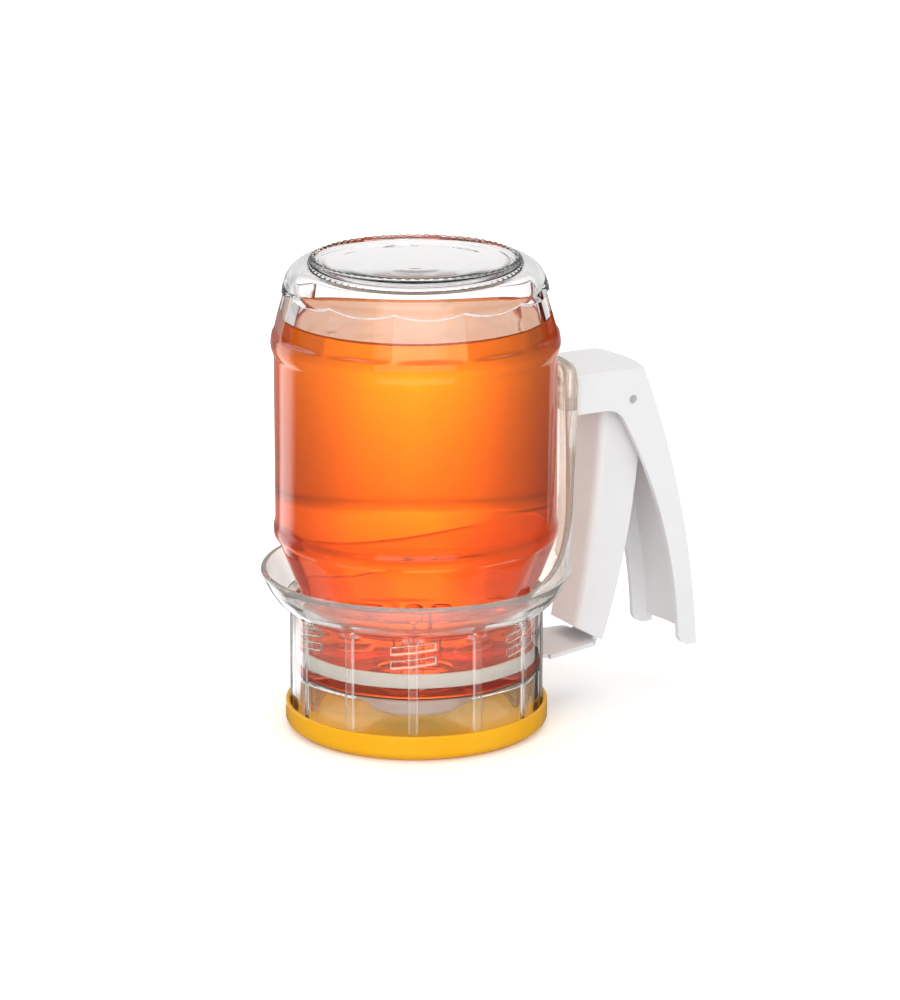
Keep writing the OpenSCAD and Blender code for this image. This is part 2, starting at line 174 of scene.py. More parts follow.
def mix_shaders(nt, fac, a, b):
    """Shader a where fac is 0 and b where it is 1."""
    mix = nt.nodes.new("ShaderNodeMixShader")
    link(nt, fac, mix.inputs["Fac"])
    link(nt, a, mix.inputs[1])
    link(nt, b, mix.inputs[2])
    return mix.outputs[0]


def place(nt):
    """Height and distance from the axis, in metres."""
    where = nt.nodes.new("ShaderNodeTexCoord")
    xyz = nt.nodes.new("ShaderNodeSeparateXYZ")
    flat = nt.nodes.new("ShaderNodeVectorMath")
    flat.operation = "MULTIPLY"
    flat.inputs[1].default_value = (1, 1, 0)
    length = nt.nodes.new("ShaderNodeVectorMath")
    length.operation = "LENGTH"
    link(nt, where.outputs["Object"], xyz.inputs[0])
    link(nt, where.outputs["Object"], flat.inputs[0])
    link(nt, flat.outputs["Vector"], length.inputs[0])
    return xyz.outputs["Z"], length.outputs["Value"]


def let_lamps_through(m, colour):
    """Lamps reach what lies behind the material, tinted by colour."""
    nt = m.node_tree
    path = nt.nodes.new("ShaderNodeLightPath")
    clear_part = nt.nodes.new("ShaderNodeBsdfTransparent")
    clear_part.inputs["Color"].default_value = (*colour, 1)
    surface = mix_shaders(nt, path.outputs["Is Shadow Ray"], node_of(m, "BSDF_PRINCIPLED").outputs[0],
                          clear_part.outputs[0])
    link(nt, surface, node_of(m, "OUTPUT_MATERIAL").inputs["Surface"])


def moulded(name, dark, light, rough, through=0.0):
    """Moulded plastic: faint flow marks in the colour, uneven gloss, a fine skin and some see-through."""
    m, nt, bsdf = new_material(name)
    link(nt, tint(nt, noise(nt, 40.0, 3.0), dark, light), bsdf.inputs["Base Color"])
    link(nt, ramp(nt, noise(nt, 160.0, 4.0), rough - 0.04, rough + 0.06), bsdf.inputs["Roughness"])
    link(nt, bump(nt, noise(nt, 1400.0, 2.0), 0.3, 0.00002), bsdf.inputs["Normal"])
    bsdf.inputs["Transmission Weight"].default_value = through
    if through:
        bsdf.inputs["IOR"].default_value = 1.3
        let_lamps_through(m, tuple(through * c for c in light))
    return m


def clear(name, colour, ior, rough, relief):
    """Clear glass or plastic with the slow waves and smears that pressing leaves."""
    m, nt, bsdf = new_material(name)
    bsdf.inputs["Base Color"].default_value = (*colour, 1)
    bsdf.inputs["Transmission Weight"].default_value = 1.0
    bsdf.inputs["IOR"].default_value = ior
    let_lamps_through(m, colour)
    link(nt, ramp(nt, noise(nt, 45.0, 3.0), rough * 0.4, rough * 1.6), bsdf.inputs["Roughness"])
    link(nt, bump(nt, noise(nt, 25.0, 1.5), 0.4, relief), bsdf.inputs["Normal"])
    return m


def steel(name):
    """Drawn or turned steel with a dull, slightly uneven shine."""
    m, nt, bsdf = new_material(name)
    bsdf.inputs["Metallic"].default_value = 0.6
    link(nt, tint(nt, noise(nt, 400.0, 3.0), (0.72, 0.72, 0.73), (0.82, 0.82, 0.83)),
         bsdf.inputs["Base Color"])
    link(nt, ramp(nt, noise(nt, 900.0, 2.0), 0.36, 0.5), bsdf.inputs["Roughness"])
    return m


def honey_material(name):
    """Amber liquid: a little cloudy, with painted shade as a deeper colour towards the bottom, and paler
    and less clear at its top surface.
    """
    deep, pale, paler = (1.0, 0.13, 0.004), (1.0, 0.22, 0.008), (1.0, 0.25, 0.012)
    pale_top_colour = (0.74, 0.40, 0.20)
    lamp_colour = (0.9, 0.66, 0.27)
    m, nt, bsdf = new_material(name)
    z, r = place(nt)
    # painted shade: the colour deepens from 120 mm down to 55 mm, standing in for the darker lower part of
    # the honey
    body = mix_colours(nt, ramp_mm(nt, z, 0.0, 1.0, 55, 120), deep, tint(nt, noise(nt, 25.0), pale, paler))
    # paler and less clear at the top surface, fading out towards the glass
    pale_top = times(nt, ramp_mm(nt, z, 0.0, 1.0, HONEY_LEVEL - 0.2, HONEY_LEVEL - 0.1),
                 ramp_mm(nt, r, 1.0, 0.0, 39.5, 41.5))
    link(nt, mix_colours(nt, pale_top, body, pale_top_colour), bsdf.inputs["Base Color"])
    link(nt, ramp(nt, pale_top, 0.88, 0.45, 0, 1), bsdf.inputs["Transmission Weight"])
    link(nt, ramp(nt, noise(nt, 30.0, 3.0), 0.0, 0.03), bsdf.inputs["Roughness"])
    bsdf.inputs["IOR"].default_value = 1.34
    let_lamps_through(m, lamp_colour)
    volume = nt.nodes.new("ShaderNodeVolumeAbsorption")
    volume.inputs["Color"].default_value = (1.0, 0.75, 0.15, 1)
    volume.inputs["Density"].default_value = 12.0
    link(nt, volume.outputs["Volume"], node_of(m, "OUTPUT_MATERIAL").inputs["Volume"])
    return m


def clear_styrene(name):
    """Clear moulding: cloudy on collar and strap, with painted highlights as whiter, less clear bands
    along the edges of its ribs and lugs.
    """
    m = clear(name, (1.0, 0.985, 0.955), 1.45, 0.01, 0.00004)
    nt = m.node_tree
    z, r = place(nt)
    collar = ramp_mm(nt, z, 0.985, 0.84, 42, 56)
    # painted highlight: a less clear band on the slope at each rib's edge, so that the edge shows as a
    # pale line
    painted_rib_highlight = times(nt, ramp_mm(nt, r, 0, 1, CUP_R - 0.65, CUP_R - 0.55),
                     ramp_mm(nt, r, 1, 0.2, CUP_R - 0.1, CUP_R - 0.05),
                     ramp_mm(nt, z, 0, 1, PANEL_BOTTOM + 2.5, PANEL_BOTTOM + 3.5),
                     ramp_mm(nt, z, 1, 0, PANEL_TOP - 3, PANEL_TOP - 1))
    # painted highlight: a less clear band along the lugs' edges inside the wall, so that they show pale
    # outlines
    painted_lug_highlight = times(nt, ramp_mm(nt, r, 0, 1, CUP_INSIDE - 0.9, CUP_INSIDE - 0.8),
                     ramp_mm(nt, r, 1, 0, CUP_INSIDE - 0.2, CUP_INSIDE - 0.1),
                     ramp_mm(nt, z, 0, 1, LUG_BOTTOM, LUG_BOTTOM + 0.5))
    clearness = times(nt, collar, ramp(nt, painted_rib_highlight, 1.0, 0.7, 0, 1), ramp(nt, painted_lug_highlight, 1.0, 0.4, 0, 1))
    link(nt, clearness, node_of(m, "BSDF_PRINCIPLED").inputs["Transmission Weight"])
    return m


def yellow_plastic(name):
    """Yellow moulding whose thin floor lets more light through than its rim."""
    m = moulded(name, (1.0, 0.50, 0.013), (1.0, 0.56, 0.025), 0.16, 0.3)
    nt = m.node_tree
    floor_to_rim = ramp_mm(nt, place(nt)[1], 0.8, 0.2, DISH_FLOOR_R, DISH_FLOOR_R + 0.8)
    link(nt, floor_to_rim, node_of(m, "BSDF_PRINCIPLED").inputs["Transmission Weight"])
    return m


GLASS = clear("jar_glass", (1.0, 1.0, 1.0), 1.34, 0.005, 0.00002)
CLEAR = clear_styrene("clear_styrene")
YELLOW = yellow_plastic("yellow_plastic")
WHITE = moulded("white_plastic", (0.78, 0.785, 0.80), (0.81, 0.815, 0.83), 0.38)
SILICONE = moulded("silicone", (0.78, 0.78, 0.75), (0.86, 0.86, 0.84), 0.5, 0.3)
STEEL = steel("stainless_steel")
HONEY = honey_material("honey")

FINISH = {
    "drip_stand": YELLOW, "clear_body": CLEAR, "mouth_gasket": SILICONE,
    "outlet_seal": SILICONE, "outlet_nozzle": WHITE, "nozzle_screws": STEEL,
    "slide_gate": WHITE, "outer_handle": WHITE, "handle_screws": STEEL,
    "trigger_lever": WHITE, "hinge_pin": STEEL, "return_spring": STEEL,
    "glass_jar": GLASS, "honey": HONEY,
}
for node_name, mat in FINISH.items():
    slots = NODES[node_name].data.materials
    slots.clear()
    slots.append(mat)

# ------------------------------------------------------------------ mesh helpers


def piece(name, verts, faces, material, body, *nodes):
    """A smooth-shaded piece from points in millimetres, in place of CAD nodes."""
    me = bpy.data.meshes.new(name)
    me.from_pydata([(x * MM, y * MM, z * MM) for x, y, z in verts], [], faces)
    me.polygons.foreach_set("use_smooth", [True] * len(me.polygons))
    me.update()
    o = bpy.data.objects.new(name, me)
    bpy.context.scene.collection.objects.link(o)
    me.materials.append(material)
    if body:
        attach(o, body)
    for n in nodes:
        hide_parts(n)
    return o


def between(p, q, t):
    return tuple(a + (b - a) * t for a, b in zip(p, q))


def soft(points, reach, steps=5, loop=False):
    """The line through points with its corners rounded by curves that begin up to reach before them."""
    if loop:
        corners = zip(points[-1:] + points[:-1], points, points[1:] + points[:1])
        out = []
    else:
        corners = zip(points, points[1:], points[2:])
        out = [points[0]]
    for p, q, r in corners:
        a = between(q, p, min(0.5, reach / math.dist(q, p)))
        b = between(q, r, min(0.5, reach / math.dist(q, r)))
        for i in range(steps + 1):
            t = i / steps
            c = between(between(a, q, t), between(q, b, t), t)
            if not out or math.dist(c, out[-1]) > 1e-4:
                out.append(c)
    if not loop:
        out.append(points[-1])
    return out


COARSE = 6                 # longest step along a plain outline


def spaced(points, spacing):
    """The same line with extra points, so that no step is longer than spacing(point)."""
    out = [points[0]]
    for p, q in zip(points, points[1:]):
        n = max(1, math.ceil(math.dist(p, q) / spacing(between(p, q, 0.5))))
        out += [between(p, q, i / n) for i in range(1, n + 1)]
    return out


def coarse(p):
    return COARSE


def turned(profile, columns, shape=None, loop=False):
    """Points and faces of a turned form; shape(i, r, z, angle) may move a point."""
    verts, rings, faces = [], [], []
    for i, (r, z) in enumerate(profile):
        start = len(verts)
        if r < 1e-6:
            verts.append((0, 0, z))
            rings.append([start] * columns)
            continue
        for j in range(columns):
            a = 2 * math.pi * j / columns
            rr, zz = shape(i, r, z, a) if shape else (r, z)
            verts.append((rr * math.cos(a), rr * math.sin(a), zz))
        rings.append(list(range(start, start + columns)))
    for lo, hi in zip(rings, rings[1:] + rings[:1] if loop else rings[1:]):
        for j in range(columns):
            k = (j + 1) % columns
            faces.append(tuple(dict.fromkeys((lo[j], lo[k], hi[k], hi[j]))))
    return verts, faces


def step(lo, hi, x):
    """0 up to lo, 1 from hi, with a soft start and end."""
    t = min(max((x - lo) / (hi - lo), 0), 1)
    return t * t * (3 - 2 * t)


def band(lo, hi, x, edge):
    """1 between lo and hi and 0 outside, with edges 2 * edge wide."""
    return step(lo - edge, lo + edge, x) * (1 - step(hi - edge, hi + edge, x))


def from_middle(angle, first, count):
    """Angle from the middle of the nearest of count equal sectors."""
    width = 2 * math.pi / count
    return (angle - first + width / 2) % width - width / 2


def smooth_min(a, b, k):
    """The smaller of two values, rounded off where they are less than k apart."""
    h = max(k - abs(a - b), 0) / k
    return min(a, b) - h * h * k / 4


# ------------------------------------------------------------------ jar and honey

FLATS = 12
JAR_FLAT_TURN = math.radians(7.5)
BASE_BUMPS = 72
BASE_RING = 157.4          # level where the ring that the jar stands on begins
THREADS = 6
THREAD_Z = 36
THREAD_RISE = 1.0
THREAD_HALF = (6, 0.9)     # half its length and half its height
THREAD_CLIMB = 0.14
NECK_R = 38.4
HEEL_CENTRE = (33.5, 147.9)


def heel(radius, first, last):
    """Points of the round heel between two angles in degrees."""
    return [(HEEL_CENTRE[0] + radius * math.cos(math.radians(a)),
             HEEL_CENTRE[1] + radius * math.sin(math.radians(a)))
            for a in range(first, last, 6 if last > first else -6)]


JAR_INSIDE = [(0, 151.4), (8, 151.4), (22, 151.9), (29.5, 152.5), (32, 153.6)] + heel(6.3, 88, 4) + [
              (40, 146.6), (41.2, 143), (42.4, 138), (43.7, 132.5), (43.7, 67.5), (42.6, 63), (40.8, 58),
              (39, 53.4), (36.9, 49.4), (35.6, 46), (35.6, 27.4), (35.8, 26.5)]
JAR_OUTSIDE = [(37.9, 26.4), (NECK_R, 27.3), (NECK_R, 45), (39, 47.4), (40.4, 50.4), (41.8, 53.1),
               (43.4, 57.4), (45.2, 62), (46.4, 65.4), (46.9, 66.8), (46.9, 69), (46.3, 70.6),
               (46.3, 126.6), (46.8, 127.6), (47.3, 129.2), (47.3, 131.2), (46.9, 133.2),
               (45.8, 139), (44.5, 143), (43.6, 146.5), (43.3, 148.8)] + heel(9.6, 12, 79) + [
               (34.4, 157.6), (34.1, 158.5), (33.3, 158.5), (32.7, 158.1), (32.1, 157.6),
               (30.4, 157.1), (23, 156.8), (8, 156.6), (0, 156.6)]


def jar_spacing(p):
    """Rows lie close together on threads, flats, heel and base."""
    z = p[1]
    if 33.5 < z < 38.5 or 145 < z < 149:
        return 0.3
    return 0.6 if 44 < z < 67 or 132 < z < 159 else COARSE


inside = spaced(soft(JAR_INSIDE, 2.0), coarse)
outside = spaced(soft(JAR_OUTSIDE, 1.2), jar_spacing)


def lower_flat(r, z, off):
    """Radius on the taper above the neck, where flats lean outwards with height."""
    plane = 37.2 + 0.3917 * (z - 44)
    flat = smooth_min(r, plane / math.cos(off), 0.5)
    return r - (r - flat) * band(46.1, 65.5, z, 0.5)


def upper_flat(r, z, off):
    """Radius above the bead, where flats lean inwards and end in a scalloped line below the heel."""
    plane = 45.4 - 0.271 * (z - 133.6)
    scallop = 146.2 + 1.53 * (r / math.cos(off) * math.cos(math.pi / FLATS) - 41.8)
    flat = smooth_min(r, plane / math.cos(off), 0.25)
    return r - (r - flat) * band(133.8, scallop, z, 0.3)


def thread_start(z, a):
    """How far a short slanting thread stands out of the neck."""
    length, height = THREAD_HALF
    y = NECK_R * from_middle(a, math.pi / THREADS, THREADS)
    level = z - THREAD_Z - THREAD_CLIMB * y
    return THREAD_RISE * band(-height, height, level, 0.3) * band(-length, length, y, 0.8)


def jar_shape(i, r, z, a):
    if i < len(inside):
        return r, z
    off = from_middle(a, JAR_FLAT_TURN, FLATS)
    if 45 < z < 66.5:
        r = lower_flat(r, z, off)
    elif 132.5 < z < 150:
        r = upper_flat(r, z, off)
    elif z > BASE_RING and r > 32.4:
        z -= 0.3 * (0.5 - 0.5 * math.cos(BASE_BUMPS * a)) * step(BASE_RING, BASE_RING + 0.8, z)
    elif abs(z - THREAD_Z) < 2.5 and r > 38:
        r += thread_start(z, a)
    return r, z


piece("jar_glass_body", *turned(inside + outside, 576, jar_shape), GLASS, "jar", "glass_jar")

WETTED = 0.05              # how far the honey's skin lies inside the glass that it wets
in_funnel = [(0, 20.41), (10.05, 20.41), (10.05, 22.0), (10.25, 22.15), (34.4, 24.15), (34.85, 24.4),
             (34.85, 26.5), (35.65, 26.6)]
on_glass = [(r + WETTED, z) for r, z in inside if 27 < z < HONEY_LEVEL + 1.7]
surface = [(r, HONEY_LEVEL + rise) for r, rise in ((42.1, 0.9), (41.3, 0.4), (40, 0.1), (38, 0), (0, 0))]
honey_line = in_funnel + on_glass[::-1] + surface
piece("honey_fill", *turned(spaced(honey_line, coarse), 288), HONEY, "jar", "honey")

# ------------------------------------------------------------------ stand and gasket

stand_line = [(0, 0), (40.6, 0), (43.5, 2.4), (43.5, 8.8), (42.2, 8.8), (42.2, 2.6), (38.6, 2.6),
              (37.8, 2.0), (0, 1.8)]
stand_rows = soft(stand_line, 0.5)
del stand_rows[8:12]       # the foot keeps a plain bevel where it meets the side
piece("drip_dish", *turned(spaced(stand_rows, coarse), 288), YELLOW, "stand", "drip_stand")
gasket_line = [(34.8, 24.2), (39.8, 24.2), (39.8, 29), (38.8, 29), (38.8, 26.3), (34.8, 26.3)]
piece("mouth_ring", *turned(soft(gasket_line, 0.35, loop=True), 240, loop=True), SILICONE,
      "dispenser", "mouth_gasket")

# ------------------------------------------------------------------ clear cup, collar and strap

RIM_Z = 53.6               # level where the wall ends and its round edge begins
RIM_R = 51.3
RIM_INSIDE = 49.3
PANELS = 12
PANEL_D = 40.65            # from the axis to a panel
PANEL_CORNER = 2
RIB_HALF = 1.4             # half the width of the rib that is left between two panels
RIB_RISE = 0.7
LUGS = 6
LUG_RISE = 1.0
LUG_HALF = 7.25            # half its length
LUG_CLIMB = 0.13
LUG_LEVELS = ((31.6, 34), (36.3, 38.7))
SLOT_TOP = 20.35           # the gate's slot, from the first to the last of its columns
SLOT_BOTTOM = 18.75
SLOT_HALF_COLUMNS = 30
STRAP_TOP = 118.3
STRAP_CORNER = 8
STRAP_ROWS = 44            # rows below the strap's round corners, and rows along them
CORNER_ROWS = 10
STRAP_COLUMNS = 240
OTHER_COLUMNS = 355
SPREAD = math.asin(48 / 50.3)   # half angle of the strap's foot
EDGE_TURNS = 8             # faces across the round edge

INNER_COLLAR = [(RIM_INSIDE, RIM_Z), (48.4, 52.2), (46.9, 49.3), (44.8, 46.6), (42, 43.9), (40.4, 42.2),
                (CUP_INSIDE, 40.5), (CUP_INSIDE, 29.5)]
FUNNEL = [(CUP_INSIDE, 29.5), (CUP_INSIDE, 24.2), (34.5, 24.2), (10.2, 22.2), (10, 22), (10, SLOT_TOP),
          (11.4, SLOT_TOP), (11.4, 21.45), (12.8, 21.45), (12.8, SLOT_TOP), (CUP_INSIDE, SLOT_TOP)]
FOOT = [(CUP_INSIDE, SLOT_BOTTOM), (CUP_INSIDE, 2.65), (CUP_R, 2.65), (CUP_R, SLOT_BOTTOM)]
OUTER_COLLAR = [(CUP_R, SLOT_TOP), (CUP_R, 40.5), (43.5, 42), (46.5, 44.9), (48.8, 48.2), (50.4, 51.6),
                (RIM_R, RIM_Z)]
STRAP = [(RIM_R, RIM_Z), (51.0, 62), (51.7, 72), (51.9, 84), (53.4, 103), (54, 119.5)]


def cup_spacing(p):
    """Rows lie close together on the lugs and at the panels' upper edge."""
    r, z = p
    if r < 40.5 and LUG_BOTTOM < z < 40.4 or r > 40.5 and 39 < z < 44:
        return 0.25
    return 1.5 if z > 25 else COARSE


inner_rows = spaced(soft(INNER_COLLAR, 1.5), cup_spacing)
cup_rows = (inner_rows + spaced(soft(FUNNEL, 0.25), cup_spacing)[1:]
            + spaced(soft(FOOT, 0.5), cup_spacing) + spaced(soft(OUTER_COLLAR, 1.5), cup_spacing))
OUTER_START = cup_rows.index((CUP_R, SLOT_TOP))


def panelled(r, z, a):
    """Radius of the outer wall, with round-cornered flat panels between ribs."""
    off = from_middle(a, math.pi / PANELS, PANELS)
    half = PANEL_D * math.tan(math.pi / PANELS) - RIB_HALF - PANEL_CORNER
    side = abs(PANEL_D * math.tan(off)) - half
    above = z - PANEL_TOP + PANEL_CORNER
    below = PANEL_BOTTOM + PANEL_CORNER - z
    edge = math.hypot(max(side, 0), max(above, below, 0)) - PANEL_CORNER
    flat = smooth_min(r - RIB_RISE, PANEL_D / math.cos(off), 0.3)
    return r - (r - flat) * (1 - step(-0.2, 0.2, edge))


def lugged(r, z, a):
    """Radius of the inner wall, with pairs of slanting thread lugs."""
    y = CUP_INSIDE * from_middle(a, 0, LUGS)
    level = z - LUG_CLIMB * y
    pair = sum(band(lo, hi, level, 0.25) for lo, hi in LUG_LEVELS)
    return r - LUG_RISE * pair * band(-LUG_HALF, LUG_HALF, y, 0.25)


def cup_shape(i, r, z, a):
    if i >= OUTER_START or r > 41 and z < SLOT_TOP:
        return panelled(r, z, a)
    if i < len(inner_rows) and LUG_BOTTOM < z < 40.4:
        return lugged(r, z, a)
    return r


def cup_angles():
    """Columns round the cup, closer together where the strap rises."""
    under_strap = [-SPREAD + 2 * SPREAD * k / STRAP_COLUMNS for k in range(STRAP_COLUMNS + 1)]
    return under_strap + [SPREAD + (2 * math.pi - 2 * SPREAD) * k / OTHER_COLUMNS
                          for k in range(1, OTHER_COLUMNS)]


def cup_wall(angles):
    """Points and faces of the cup, with the gate's slot cut through its wall."""
    n = len(angles)
    verts, faces = [], []
    for i, (r, z) in enumerate(cup_rows):
        for a in angles:
            rr = cup_shape(i, r, z, a)
            verts.append((rr * math.cos(a), rr * math.sin(a), z))
    mid = STRAP_COLUMNS // 2
    open_columns = range(mid - SLOT_HALF_COLUMNS, mid + SLOT_HALF_COLUMNS)
    slot_outer = next(i for i in range(OUTER_START - 1, 0, -1) if cup_rows[i][1] == SLOT_BOTTOM)
    slot_inner = cup_rows.index((CUP_INSIDE, SLOT_BOTTOM)) - 1
    for i in range(len(cup_rows) - 1):
        for j in range(n):
            if i in (slot_outer, slot_inner) and j in open_columns:
                continue
            k = (j + 1) % n
            faces.append((i * n + j, i * n + k, (i + 1) * n + k, (i + 1) * n + j))
    ends = (slot_inner * n, (slot_inner + 1) * n, slot_outer * n, OUTER_START * n)
    top_inner, bottom_inner, bottom_outer, top_outer = ends
    for j in open_columns:
        faces.append((top_inner + j, top_inner + j + 1, top_outer + j + 1, top_outer + j))
        faces.append((bottom_outer + j, bottom_outer + j + 1, bottom_inner + j + 1, bottom_inner + j))
    faces.append(tuple(e + open_columns[0] for e in ends))
    faces.append(tuple(e + open_columns[-1] + 1 for e in reversed(ends)))
    return verts, faces


def strap_half_width(z):
    """Half the strap's width below its round corners: broad at the rim, and narrower upwards."""
    return 17 + 31 * math.exp((RIM_Z - z) / 24) - 1.1 * step(RIM_Z, RIM_Z + 8, z)


def strap_rows(verts, angles):
    """Adds the strap's points; returns the point numbers of its outer and inner rows."""
    line = soft(STRAP, 6)
    corner_z = STRAP_TOP - STRAP_CORNER
    levels = [RIM_Z + (corner_z - RIM_Z) * m / STRAP_ROWS for m in range(1, STRAP_ROWS + 1)]
    levels += [corner_z + STRAP_CORNER * math.sin(math.radians(90 * m / CORNER_ROWS))
               for m in range(1, CORNER_ROWS + 1)]
    columns = range(STRAP_COLUMNS + 1)
    outer = [[(len(cup_rows) - 1) * len(angles) + k for k in columns]]
    inner = [list(columns)]
    for z in levels:
        p, q = next((p, q) for p, q in zip(line, line[1:]) if q[1] >= z)
        r_out = p[0] + (q[0] - p[0]) * (z - p[1]) / (q[1] - p[1])
        w = strap_half_width(min(z, corner_z))
        if z > corner_z:
            w -= STRAP_CORNER - math.sqrt(max(STRAP_CORNER ** 2 - (z - corner_z) ** 2, 0))
        share = w / (0.5 * (r_out + RIM_INSIDE)) / math.sin(SPREAD)
        for rows, r in ((outer, r_out), (inner, RIM_INSIDE)):
            start = len(verts)
            rows.append([start + k for k in columns])
            for k in columns:
                a = math.asin(math.sin(angles[k]) * share)
                verts.append((r * math.cos(a), r * math.sin(a), z))
    return outer, inner


def round_edge(verts, edge):
    """Adds a round edge along a closed line of pairs of points; returns its faces."""
    middles = [(Vector(verts[a]) + Vector(verts[b])) / 2 for a, b in edge]
    arcs = []
    for e, (a, b) in enumerate(edge):
        half = (Vector(verts[a]) - Vector(verts[b])) / 2
        along = middles[(e + 1) % len(edge)] - middles[e - 1]
        out = half.cross(along).normalized() * min(half.length, 1.2)
        row = [a]
        for turn in range(1, EDGE_TURNS):
            t = math.pi * turn / EDGE_TURNS
            row.append(len(verts))
            verts.append(tuple(middles[e] + half * math.cos(t) + out * math.sin(t)))
        arcs.append(row + [b])
    return [(lo[k], hi[k], hi[k + 1], lo[k + 1])
            for lo, hi in zip(arcs, arcs[1:] + arcs[:1]) for k in range(EDGE_TURNS)]


def cup_mesh():
    angles = cup_angles()
    verts, faces = cup_wall(angles)
    outer, inner = strap_rows(verts, angles)
    for m in range(len(outer) - 1):
        for k in range(STRAP_COLUMNS):
            faces.append((outer[m][k], outer[m][k + 1], outer[m + 1][k + 1], outer[m + 1][k]))
            faces.append((inner[m][k], inner[m + 1][k], inner[m + 1][k + 1], inner[m][k + 1]))
    # the edge runs along the rim, up one side of the strap, over its top and down the other side
    rim_start = (len(cup_rows) - 1) * len(angles)
    rim = [STRAP_COLUMNS] + list(range(STRAP_COLUMNS + 1, len(angles))) + [0]
    top = len(outer) - 1
    edge = [(rim_start + j, j) for j in rim]
    edge += [(outer[m][0], inner[m][0]) for m in range(1, top + 1)]
    edge += [(outer[top][k], inner[top][k]) for k in range(1, STRAP_COLUMNS + 1)]
    edge += [(outer[m][STRAP_COLUMNS], inner[m][STRAP_COLUMNS]) for m in range(top - 1, 0, -1)]
    return verts, faces + round_edge(verts, edge)


piece("clear_cup", *cup_mesh(), CLEAR, "dispenser", "clear_body")


def slab(lo, hi):
    """Points and faces of a slab with rounded corners in plan and softened edges."""
    radius = min(2.0, 0.45 * (hi[0] - lo[0]), 0.45 * (hi[1] - lo[1]))
    plan = []
    for cx, cy, first in ((hi[0] - radius, hi[1] - radius, 0), (lo[0] + radius, hi[1] - radius, 90),
                          (lo[0] + radius, lo[1] + radius, 180), (hi[0] - radius, lo[1] + radius, 270)):
        for a in range(first, first + 91, 15):
            t = math.radians(a)
            plan.append((cx, cy, math.cos(t), math.sin(t)))
    verts, n = [], len(plan)
    for z, inset in ((lo[2], 0.4), (lo[2] + 0.4, 0), (hi[2] - 0.4, 0), (hi[2], 0.4)):
        verts += [(x + (radius - inset) * u, y + (radius - inset) * v, z) for x, y, u, v in plan]
    faces = [(i * n + j, i * n + (j + 1) % n, (i + 1) * n + (j + 1) % n, (i + 1) * n + j)
             for i in range(3) for j in range(n)]
    return verts, faces + [tuple(range(n - 1, -1, -1)), tuple(range(3 * n, 4 * n))]


SHELF_PLATE = ((51.6, -13.3, 103), (65, 13.3, 107))
SHELF_RIBS = (((51.6, -13.3, 106.9), (58, -11.3, 113)), ((51.6, 11.3, 106.9), (58, 13.3, 113)))

shelf_verts, shelf_faces = [], []
for lo, hi in (SHELF_PLATE, *SHELF_RIBS):
    v, f = slab(lo, hi)
    shelf_faces += [tuple(i + len(shelf_verts) for i in face) for face in f]
    shelf_verts += v
piece("strap_shelf", shelf_verts, shelf_faces, CLEAR, "dispenser", "clear_body")

# ------------------------------------------------------------------ return spring

PIN_X, PIN_Z = 73.6, 105.0      # the hinge pin, which the coil goes round
COIL_R = 2.6
COIL_PITCH = 1.35
COIL_TURNS = 6.375
COIL_STEPS = 306
LEG_STEPS = 16
WIRE_R = 0.45
LEVER_LEG = (66.95, -4.3, 87)   # end of the leg that rests on the lever
HANDLE_LEG = (87.4, 4.3, 87)    # end of the leg that rests on the handle


def coil_point(turn):
    a = math.radians(170 - 360 * turn)
    return (PIN_X + COIL_R * math.cos(a), COIL_PITCH * (turn - COIL_TURNS / 2),
            PIN_Z + COIL_R * math.sin(a))


def tube(path, radius, sides):
    """Points and faces of a round bar along a path, closed at both ends."""
    verts, n = [], len(path)
    side = Vector((0, 1, 0))
    for i, p in enumerate(path):
        along = (Vector(path[min(i + 1, n - 1)]) - Vector(path[max(i - 1, 0)])).normalized()
        side = (side - along * side.dot(along)).normalized()
        across = along.cross(side)
        for k in range(sides):
            t = 2 * math.pi * k / sides
            verts.append(tuple(Vector(p) + radius * (side * math.cos(t) + across * math.sin(t))))
    faces = [(i * sides + k, i * sides + (k + 1) % sides, (i + 1) * sides + (k + 1) % sides,
              (i + 1) * sides + k) for i in range(n - 1) for k in range(sides)]
    return verts, faces + [tuple(range(sides - 1, -1, -1)), tuple(range((n - 1) * sides, n * sides))]


coil = [coil_point(COIL_TURNS * i / COIL_STEPS) for i in range(COIL_STEPS + 1)]
spring_path = ([between(LEVER_LEG, coil[0], i / LEG_STEPS) for i in range(LEG_STEPS)] + coil
               + [between(coil[-1], HANDLE_LEG, i / LEG_STEPS) for i in range(1, LEG_STEPS + 1)])
spring = piece("wound_spring", *tube(spring_path, WIRE_R, 12), STEEL, None, "return_spring")
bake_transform(spring)

# ------------------------------------------------------------------ moulded edges of the CAD nodes

EDGES = {"outer_handle": 0.5, "trigger_lever": 0.4, "slide_gate": 0.25, "outlet_nozzle": 0.3,
         "hinge_pin": 0.3, "handle_screws": 0.15, "nozzle_screws": 0.15}
for node_name, width in EDGES.items():
    mod = NODES[node_name].modifiers.new("edge", "BEVEL")
    mod.width = width * MM
    mod.segments = 3
    mod.limit_method = "ANGLE"
    mod.angle_limit = math.radians(40)
    mod.harden_normals = True

# ------------------------------------------------------------------ floor and light


def add_light(name, location, width, height, energy, aim):
    data = bpy.data.lights.new(name, "AREA")
    data.energy = energy
    data.shape = "RECTANGLE"
    data.size = width
    data.size_y = height
    o = bpy.data.objects.new(name, data)
    bpy.context.scene.collection.objects.link(o)
    o.location = location
    o.rotation_euler = (Vector(aim) - Vector(location)).to_track_quat("-Z", "Y").to_euler()


